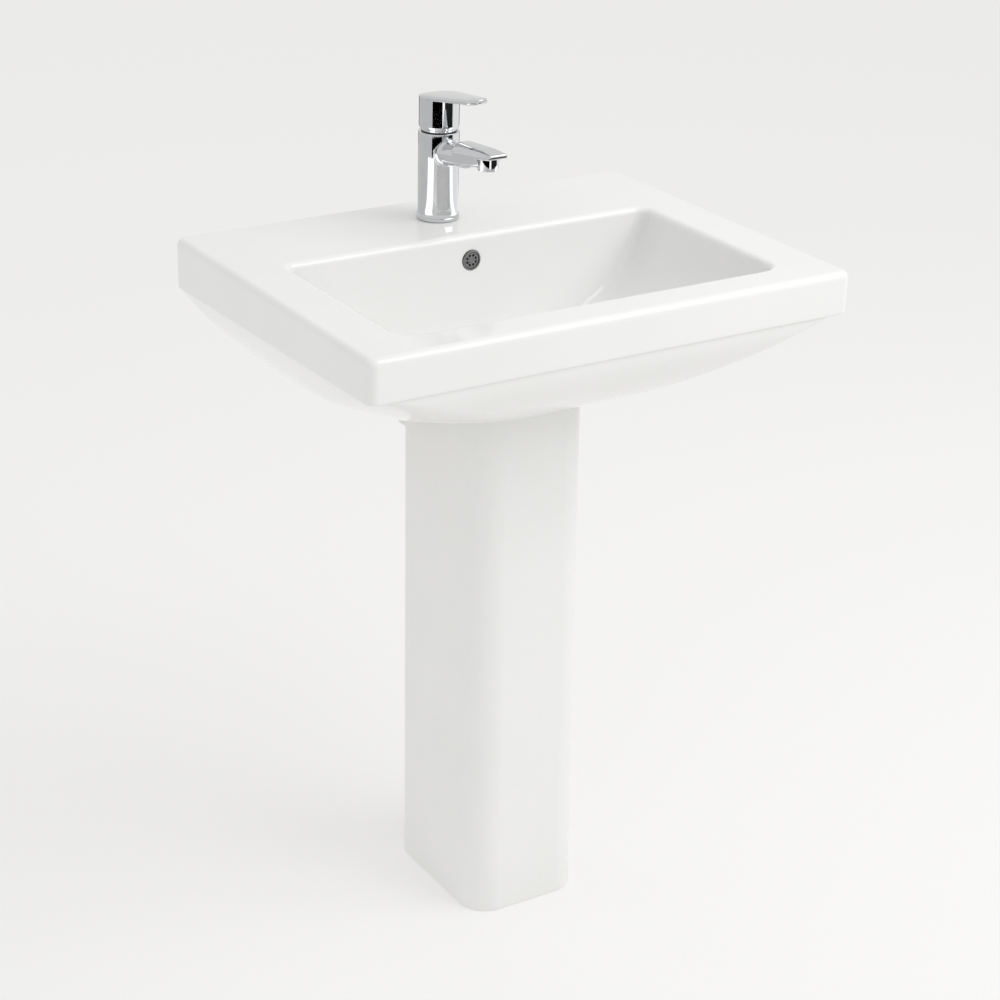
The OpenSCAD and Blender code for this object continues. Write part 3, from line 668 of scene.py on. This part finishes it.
# ---------- tap ----------
TAP_R = 25.0
RING_H = 5.0
PIVOT_H = PIVOT.z - RIM
BODY_H = PIVOT_H - 5
CHAMBER_H = PIVOT_H - 39
SPOUT_RISE = math.radians(8)
REACH = 115.0                    # from the tap's middle to the aerator's
NECK_R, NECK_FLARE, NECK_LENGTH = 13.5, 4.2, 52
NECK_Y, NECK_H = -15, 85         # where the neck's middle line starts
CARTRIDGE_R = 18
STUD_Y, STUD_R = 12, 3.96
HOSE_X, HOSE_Y, HOSE_R = 9.5, -3, 4.5
AERATOR_H = 89                   # lower face of the aerator
SPOUT_BOSS_R, SPOUT_BOSS_LOW, SPOUT_BOSS_TOP = 13.5, 92, 107
SEAT_R, SEAT_TOP = 11, 100       # the aerator's seat, and its wider mouth
MOUTH_R, MOUTH_TOP = 12.7, 92
# Each is (reach, low, high, width, top radius, bottom radius).
SPOUT_UPPER = ((58, 94.8, 110, 34, 13.4, 0.8), (112, 102.6, 112.6, 32.2, 8.4, 0.8),
              (138, 106.2, 112.4, 26, 3.4, 1.6))
SPOUT_LOWER = ((58.4, 81.3, 107.5, 33.4, 8, 8.6), (117, 92.9, 111, 31.5, 5, 6.5))


def tap_point(x, y, h):
    return (x + TAP.x, y + TAP.y, h + TAP.z)


def make_body():
    """The round body, slightly flared at its foot."""
    flare = [(TAP_R + 1.2 * (1 - t) ** 2.2, RING_H + 0.5 + 9.5 * t) for t in [i / 10 for i in range(11)]]
    outline = ([(0, RING_H), (TAP_R + 0.9, RING_H)] + flare
               + fillet([(TAP_R, 60, 0), (TAP_R, BODY_H, 0.7), (17.5, BODY_H, 0), (10, BODY_H, 0)])[:-1]
               + [(0, BODY_H)])
    return lathe("tap_casting", outline, [CHROME], tap_point(0, 0, 0), None, 192, 30)


def make_neck():
    """The round neck, with a flared root that ends in a crisp collar against the body."""
    r, flare, n = NECK_R, NECK_FLARE, 96
    c, s8 = math.cos(SPOUT_RISE), math.sin(SPOUT_RISE)

    def where(s, radius, a):
        """A point of the neck, s along its middle line."""
        return tap_point(radius * math.cos(a), NECK_Y - s * c + radius * math.sin(a) * s8,
                         NECK_H + s * s8 + radius * math.sin(a) * c)

    def meets(radius, a, body_r):
        """How far along its middle line the neck meets a body of that radius."""
        x = radius * math.cos(a)
        return (math.sqrt(body_r ** 2 - x * x) + NECK_Y + radius * math.sin(a) * s8) / c

    angles = [2 * math.pi * i / n for i in range(n)]
    rings = [[where(NECK_LENGTH, r, a) for a in angles]]
    for k in range(1, 9):
        rings.append([where(mix(NECK_LENGTH, meets(r, a, TAP_R) + flare * 1.7, k / 8), r, a)
                      for a in angles])
    for k in range(1, 13):
        t = k / 12
        loop = []
        for a in angles:
            p0 = (meets(r, a, TAP_R) + flare * 1.7, r)
            p1 = (meets(r, a, TAP_R) + 0.5, r)
            p2 = (meets(r + flare, a, TAP_R + 0.75), r + flare)
            u = [(1 - t) ** 2 * p0[i] + 2 * t * (1 - t) * p1[i] + t * t * p2[i] for i in (0, 1)]
            loop.append(where(u[0], u[1], a))
        rings.append(loop)
    for out, up in ((0.18, 0.62), (0.22, 0.4), (0.22, -1.5)):
        rings.append([where(meets(r + flare + out, a, TAP_R + up), r + flare + out, a) for a in angles])
    return loft("neck", rings, [CHROME], 40)


def slab(y, low, high, w, top_r, low_r, n=10):
    """A section across the spout at a reach, with its own top and bottom corner radii."""
    a = w / 2
    corners = [(a - low_r, low + low_r, low_r, -90), (a - top_r, high - top_r, top_r, 0),
               (top_r - a, high - top_r, top_r, 90), (low_r - a, low + low_r, low_r, 180)]
    points = []
    for cx, cz, r, start in corners:
        for i in range(n + 1):
            s = math.radians(start + 90 * i / n)
            points.append(tap_point(cx + r * math.cos(s), -y, cz + r * math.sin(s)))
    return points


def spout_part(name, stations, steps, back, tip, crown=0.0):
    """A loft through the stations, with ends rounded by back and tip and a crowned top."""
    sections = []
    for a, b in zip(stations, stations[1:]):
        for i in range(steps):
            t = i / steps
            sections.append([mix(p, q, t) for p, q in zip(a, b)])
    sections.append(list(stations[-1]))
    first, last = sections[0][0], sections[-1][0]
    for s in sections:
        s[2] += crown * 4 * (s[0] - first) * (last - s[0]) / (last - first) ** 2

    def ends(section, size, sign):
        y, low, high, w, rt, rb = section
        made = []
        for k in range(7):
            s = math.radians(15 * k)
            cut = size * (1 - math.cos(s))
            made.append(slab(y + sign * size * (math.sin(s) - 1), low + cut, high - cut, w - 2 * cut,
                             max(rt - cut, 0.15), max(rb - cut, 0.15)))
        return made

    inner = [s for s in sections if first + back < s[0] < last - tip]
    rings = list(reversed(ends(sections[0], back, -1))) + [slab(*s) for s in inner]
    rings += ends(sections[-1], tip, 1)
    return loft(name, rings, [CHROME], 35)


def make_spout():
    """The spout's head in two layers, and the round boss that holds the aerator."""
    upper = spout_part("upper", SPOUT_UPPER, 12, 0.9, 2.2, 0.5)
    lower = spout_part("lower", SPOUT_LOWER, 12, 0.9, 1.0)
    boss = lathe("boss", fillet([(0, SPOUT_BOSS_LOW, 0), (SPOUT_BOSS_R, SPOUT_BOSS_LOW, 0.5),
                                 (SPOUT_BOSS_R, SPOUT_BOSS_TOP, 0), (0, SPOUT_BOSS_TOP, 0)]),
                 [CHROME], tap_point(0, -REACH, 0), None, 96)
    return [upper, lower, boss]


def make_tap():
    """The casting: body, neck and spout, with its chamber and the holes in its foot and tip."""
    tap = make_body()
    combine(tap, [make_neck()], "UNION", 30)
    combine(tap, make_spout(), "UNION", 30)
    cutters = [rod(tap_point(0, 0, CHAMBER_H), tap_point(0, 0, BODY_H + 20), CARTRIDGE_R),
               rod(tap_point(0, STUD_Y, -1), tap_point(0, STUD_Y, 25), STUD_R),
               rod(tap_point(0, -REACH, 80), tap_point(0, -REACH, SEAT_TOP), SEAT_R),
               rod(tap_point(0, -REACH, 80), tap_point(0, -REACH, MOUTH_TOP), MOUTH_R)]
    cutters += [rod(tap_point(s * HOSE_X, HOSE_Y, -1), tap_point(s * HOSE_X, HOSE_Y, 27), HOSE_R)
                for s in (-1, 1)]
    return combine(tap, cutters, angle=30)


stand_for(make_tap(), "sink", "chrome", "tap_body")

base_outline = fillet([(17.2, 0.3, 0.2), (25.6, 0.3, 0.4), (26.5, 1.2, 0.5), (26.5, 4.3, 0.4),
                       (25.9, 5, 0.3), (17.2, 5, 0.2)])
stand_for(lathe("tap_foot_ring", base_outline, [CHROME], tap_point(0, 0, 0), None, 160), "sink",
          "chrome", "tap_base_ring")


DOME_OUT_R, DOME_IN_R, DOME_LOW = 22.2, 20.4, -5     # heights are from the pivot
DOME_EYE_OUT, DOME_EYE_IN = 15.3, 15     # radii of the opening in its top
DOME_PAINTED_GAP = -3.5                         # below this height the dome is black rubber: a painted shadow of the gap above the body


def dome_arc(r, eye, n=30):
    """Points of a sphere's section, from the dome's lower edge up to its opening."""
    angles = [mix(math.asin(DOME_LOW / r), math.acos(eye / r), i / n) for i in range(n + 1)]
    return [(r * math.cos(a), r * math.sin(a)) for a in angles]


def make_dome():
    outline = dome_arc(DOME_OUT_R, DOME_EYE_OUT) + dome_arc(DOME_IN_R, DOME_EYE_IN)[::-1]
    dome = lathe("lever_dome", outline, [CHROME, RUBBER], tap_point(0, 0, PIVOT_H), None, 160, 40)
    # The dome's lowest band takes black rubber: painted shade standing for the gap between dome and
    # body.
    for f in dome.data.polygons:
        if f.center.z * 1000 < PIVOT.z + DOME_PAINTED_GAP:
            f.material_index = 1
    return dome


stand_for(make_dome(), "sink", "chrome", "dome_cover")


# ---------- lever ----------
SKIRT_R, SKIRT_BORE, SKIRT_LOW = 24.6, 22.7, -1.0
PLATE_Z, PLATE_T = 37.5, 7.0
LEVER_REACH, TIP_R = 98.0, 14.5
LEVER_RISE = 8                   # the plate's slope at rest, in degrees
SKIRT_ROUND, SKIRT_TOP = 4.4, 46
SCREW_Z = 24.0
SCREW_BORE_R, BUTTON_BORE_R = 2.5, 3.6
HUB_R, HUB_LOW, HUB_TOP = 7.5, 18.5, 31
SQUARE = 3.52                    # half width of the spindle's square hole
UP_BACK = Matrix.Rotation(-math.radians(LEVER_RISE), 3, "X")


def lever_point(x, y, z):
    return (x + PIVOT.x, y + PIVOT.y, z + PIVOT.z)


def plate_outline(inset, n=72, side_steps=24):
    """Outline of the hull of the skirt's circle and the tip's circle, moved inwards."""
    big, small = SKIRT_R + 0.05 - inset, TIP_R - inset
    far = LEVER_REACH - TIP_R
    lean = math.asin((SKIRT_R + 0.05 - TIP_R) / far)
    points = []
    for i in range(n + 1):
        a = mix(-lean, math.pi + lean, i / n)
        points.append((big * math.cos(a), big * math.sin(a)))
    for i in range(1, side_steps):
        t = i / side_steps
        points.append((mix(points[n][0], small * math.cos(math.pi + lean), t),
                       mix(points[n][1], small * math.sin(math.pi + lean) - far, t)))
    for i in range(n + 1):
        a = mix(math.pi + lean, 2 * math.pi - lean, i / n)
        points.append((small * math.cos(a), small * math.sin(a) - far))
    start, end = points[-1], points[0]
    for i in range(1, side_steps):
        t = i / side_steps
        points.append((mix(start[0], end[0], t), mix(start[1], end[1], t)))
    return points


def make_plate():
    """The lever's plate, with a rounded lower edge, a crisp upper one and a slight crown."""
    low_r, top_r, crown = 2.6, 1.1, 0.9
    levels = [(0, 9), (0, low_r + 0.8)]
    levels += [(low_r * (1 - math.cos(math.radians(s))), low_r * (1 - math.sin(math.radians(s))))
               for s in range(0, 91, 15)]
    levels += [(PLATE_T - crown - top_r * (1 - math.sin(math.radians(s))),
                top_r * (1 - math.cos(math.radians(s)))) for s in range(0, 91, 15)]
    for inset in (2.0, 3.5, 6, 9, 12, 15):
        levels.append((PLATE_T - crown * (1 - (inset - top_r) / 14) ** 2, inset))
    rings = []
    for z, inset in levels:
        ring_points = []
        for x, y in plate_outline(inset):
            p = UP_BACK @ Vector((x, y, z))
            ring_points.append(lever_point(p.x, p.y, p.z + PLATE_Z - 3.5))
        rings.append(ring_points)
    return loft("plate", rings, [CHROME], 30)


def turned_block(low, high, angle, place):
    """A block turned about X by an angle in degrees, then put in place."""
    piece = block(low, high)
    matrix = (Matrix.Translation(Vector(place) * MM)
              @ Matrix.Rotation(math.radians(angle), 4, "X"))
    piece.data.transform(matrix)
    return piece


def make_handle():
    """The skirt, the plate and the hub with its square hole, its screw and its button's seat."""
    outline = [(0, SKIRT_LOW), (SKIRT_BORE + 0.1, SKIRT_LOW)]
    for i in range(9):
        s = math.radians(90 * i / 8)
        outline.append((SKIRT_BORE + 0.15 + (SKIRT_R - SKIRT_BORE - 0.15) * math.sin(s),
                        SKIRT_LOW + SKIRT_ROUND * (1 - math.cos(s))))
    outline += [(SKIRT_R, 20), (SKIRT_R, SKIRT_TOP), (0, SKIRT_TOP)]
    handle = lathe("lever_handle", outline, [CHROME], lever_point(0, 0, 0), None, 160, 30)
    combine(handle, [turned_block((-60, -60, 0), (60, 60, 60), -LEVER_RISE,
                                  lever_point(0, 0, PLATE_Z)),
                     rod(lever_point(0, 0, -5), lever_point(0, 0, PLATE_Z - 9), SKIRT_BORE,
                         segments=160)], angle=30)
    combine(handle, [make_plate()], "UNION", 30)
    hub = rod(lever_point(0, 0, HUB_LOW), lever_point(0, 0, HUB_TOP), HUB_R)
    combine(handle, [hub], "UNION", 30)
    low, high = Vector(lever_point(-SQUARE, -SQUARE, 0)), Vector(lever_point(SQUARE, SQUARE, 30.2))
    return combine(handle, [
        block(low, high),
        turned_block((-40, 0, -40), (40, 60, 0), 24, lever_point(0, 8, SKIRT_LOW)),
        rod(lever_point(0, 3, SCREW_Z), lever_point(0, 33, SCREW_Z), SCREW_BORE_R, segments=32),
        rod(lever_point(0, SKIRT_BORE - 1, SCREW_Z), lever_point(0, 33, SCREW_Z), BUTTON_BORE_R,
            segments=48),
    ], angle=30)


stand_for(make_handle(), "lever", "chrome", "handle")

BACKWARD = Matrix.Rotation(math.radians(-90), 3, "X")
plug_outline = fillet([(0, 0, 0), (3.55, 0, 0.2), (3.55, 2.1, 0.5), (0, 2.3, 0)])
stand_for(lathe("lever_button", plug_outline, [CHROME], lever_point(0, SKIRT_BORE - 0.9, SCREW_Z),
                BACKWARD, 64), "lever", "chrome", "handle_plug")


# ---------- aerator ----------
aerator_outline = fillet([(9, 0, 0.5), (12.2, 0, 0.7), (12.5, 3, 0.2), (10.98, 3, 0.1),
                          (10.98, 9.9, 0.2), (9, 9.9, 0.2)])
aerator = lathe("aerator_ring", aerator_outline, [CHROME], tap_point(0, -REACH, AERATOR_H), None, 96)
notches = [block(tap_point(s * 12.5 - 0.9, -REACH - 1.1, AERATOR_H - 0.5),
                 tap_point(s * 12.5 + 0.9, -REACH + 1.1, AERATOR_H + 1.6)) for s in (-1, 1)]
stand_for(combine(aerator, notches, angle=30), "sink", "chrome", "aerator_housing")


# ---------- pieces finished from their CAD shape ----------
def refined(node, body, slot, material, bevel=0.4, limit=32):
    """The CAD shape with its sharp edges slightly rounded."""
    mesh = frame["nodes"][node].data.copy()
    piece = bpy.data.objects.new(node + "_finished", mesh)
    bpy.context.scene.collection.objects.link(piece)
    mesh.materials.clear()
    mesh.materials.append(material)
    bm = bmesh.new()
    bm.from_mesh(mesh)
    bmesh.ops.remove_doubles(bm, verts=bm.verts, dist=2e-6)
    bmesh.ops.dissolve_limit(bm, angle_limit=math.radians(0.4), verts=bm.verts, edges=bm.edges)
    bm.to_mesh(mesh)
    bm.free()
    for name in [a.name for a in mesh.attributes if a.name in ("custom_normal", "sharp_face")]:
        mesh.attributes.remove(mesh.attributes[name])
    step = piece.modifiers.new("edges", "BEVEL")
    step.width, step.segments = bevel * MM, 2
    step.limit_method, step.angle_limit = "ANGLE", math.radians(limit)
    apply_modifiers(piece)
    tidy(piece, 30)
    return stand_for(piece, body, slot, node)


for node in ("trap_inlet_nut", "trap_top_nut", "trap_outlet_nut", "trap_body", "trap_bottle",
             "outlet_pipe", "trap_inlet_tube"):
    refined(node, "sink", "plastic", PLASTIC)
refined("waste_backnut", "sink", "brass", BRASS)
refined("tap_nut", "sink", "brass", BRASS, 0.3)
refined("horseshoe_plate", "sink", "steel", STEEL, 0.3)
refined("horseshoe_washer", "sink", "rubber", RUBBER, 0.3)
refined("basin_pads", "sink", "rubber", RUBBER, 0.3)
refined("aerator_insert", "sink", "plastic", PLASTIC, 0.12)
refined("tap_stud", "sink", "steel", STEEL, 0.3)

FINISH = {"china": GLAZE, "chrome": CHROME, "steel": STEEL, "brass": BRASS, "plastic": PLASTIC,
          "rubber": RUBBER, "disc_ceramic": DISC}
for row in frame["record"]["subparts"]:
    node = frame["nodes"][row["node"]]
    if node.hide_render:
        continue
    node.data.materials.clear()
    node.data.materials.append(FINISH[row["material_slot"]])


# ---------- floor, light and camera ----------
scene = bpy.context.scene
scene.view_settings.view_transform = "Standard"


def plain(name, colour, emission=0.0):
    mat = bpy.data.materials.new(name)
    mat.use_nodes = True
    shader = mat.node_tree.nodes["Principled BSDF"]
    shader.inputs["Base Color"].default_value = (*colour, 1)
    shader.inputs["Roughness"].default_value = 0.9
    shader.inputs["Specular IOR Level"].default_value = 0.0
    shader.inputs["Emission Color"].default_value = (1.0, 0.996, 0.988, 1)
    shader.inputs["Emission Strength"].default_value = emission
    return mat


SPREAD = 16000                   # half the floor's width
floor = build("studio_floor", [(-SPREAD, -SPREAD, 0), (SPREAD, -SPREAD, 0), (SPREAD, SPREAD, 0),
                               (-SPREAD, SPREAD, 0)], [(0, 1, 2, 3)],
              [plain("floor_paint", (0.5, 0.498, 0.491), 0.425)])


CARDS_TURN = -31                 # the cards' angles are counted from here, in degrees
NEAR, FAR, WHOLE = (30, 344), (345, 640), (30, 640)
CARDS = (                        # reach from the tap, start and end angle, strength
    (FAR, -37, 19, 0.0), (FAR, 20, 31, 1.5), (FAR, 32, 81, 0.02),
    (FAR, 150, 178, 0.05), (FAR, -178, -150, 0.05),
    (NEAR, -58, -24, 1.7), (NEAR, 64, 84, 1.7),
    (WHOLE, -149, -59, 0.68), (FAR, -59, -38, 0.68), (WHOLE, 85, 149, 1.06),
    (NEAR, 152, 178, 0.25), (NEAR, -178, -152, 0.25))


def card(name, reach, a0, a1, strength):
    """A glowing or black wedge round the tap, level with the ledge, that only gloss reflects."""
    steps = max(2, int(abs(a1 - a0) / 3))
    start = math.radians(CARDS_TURN)
    verts = []
    for r in reach:
        for i in range(steps + 1):
            a = start + math.radians(mix(a0, a1, i / steps))
            verts.append((TAP.x + r * math.sin(a), TAP.y - r * math.cos(a), RIM + 7))
    n = steps + 1
    faces = [(i, i + 1, n + i + 1, n + i) for i in range(steps)]
    mat = bpy.data.materials.new(name)
    mat.use_nodes = True
    nodes, links = mat.node_tree.nodes, mat.node_tree.links
    nodes.clear()
    glow, clear = nodes.new("ShaderNodeEmission"), nodes.new("ShaderNodeBsdfTransparent")
    glow.inputs["Strength"].default_value = strength
    side, either = nodes.new("ShaderNodeNewGeometry"), nodes.new("ShaderNodeMixShader")
    links.new(side.outputs["Backfacing"], either.inputs["Fac"])
    links.new(glow.outputs["Emission"], either.inputs[1])
    links.new(clear.outputs["BSDF"], either.inputs[2])
    links.new(either.outputs["Shader"], nodes.new("ShaderNodeOutputMaterial").inputs["Surface"])
    piece = build(name, verts, faces, [mat])
    if piece.data.polygons[0].normal.z < 0:
        piece.data.flip_normals()
    for seen in ("camera", "diffuse", "transmission", "volume_scatter", "shadow"):
        setattr(piece, "visible_" + seen, False)


for k, (reach, a0, a1, strength) in enumerate(CARDS):
    card("card_%d" % k, reach, a0, a1, strength)

# The lights and the camera are in metres and watts.
KEY_PLACE, KEY_AIM = Vector((1.35, -1.35, 2.6)), Vector((0, 0, 0.75))
KEY_W, KEY_H, KEY_WATTS = 2.0, 1.8, 28
WORLD_STRENGTH = 0.80

key = bpy.data.objects.new("key", bpy.data.lights.new("key", "AREA"))
scene.collection.objects.link(key)
key.data.shape, key.data.size, key.data.size_y = "RECTANGLE", KEY_W, KEY_H
key.data.energy = KEY_WATTS
key.location = KEY_PLACE
key.rotation_euler = (KEY_AIM - KEY_PLACE).to_track_quat("-Z", "Y").to_euler()

world = bpy.data.worlds.new("studio")
scene.world = world
world.use_nodes = True
background = world.node_tree.nodes["Background"]
background.inputs["Color"].default_value = (1.0, 0.998, 0.992, 1)
background.inputs["Strength"].default_value = WORLD_STRENGTH

CAMERA_PLACE = (-1.4117, -2.2285, 1.6958)
YAW, PITCH_DOWN, ROLL = -30.99, 23.58, 1.0     # in degrees; yaw is counted from +Y
LENS, SHIFT_X, SHIFT_Y = 84.294, 0.0478, -0.009

camera = bpy.data.objects.new("camera", bpy.data.cameras.new("camera"))
scene.collection.objects.link(camera)
scene.camera = camera
yaw, pitch, roll = math.radians(YAW), math.radians(PITCH_DOWN), math.radians(ROLL)
ahead = Vector((-math.sin(yaw) * math.cos(pitch), math.cos(yaw) * math.cos(pitch), -math.sin(pitch)))
right = ahead.cross(Vector((0, 0, 1))).normalized()
up = right.cross(ahead)
across = right * math.cos(roll) + up * math.sin(roll)
upward = up * math.cos(roll) - right * math.sin(roll)
camera.matrix_world = Matrix.Translation(CAMERA_PLACE) @ Matrix(
    (across, upward, -ahead)).transposed().to_4x4()
camera.data.sensor_width = 36
camera.data.lens = LENS
camera.data.shift_x = SHIFT_X
camera.data.shift_y = SHIFT_Y
camera.data.clip_start, camera.data.clip_end = 0.1, 60
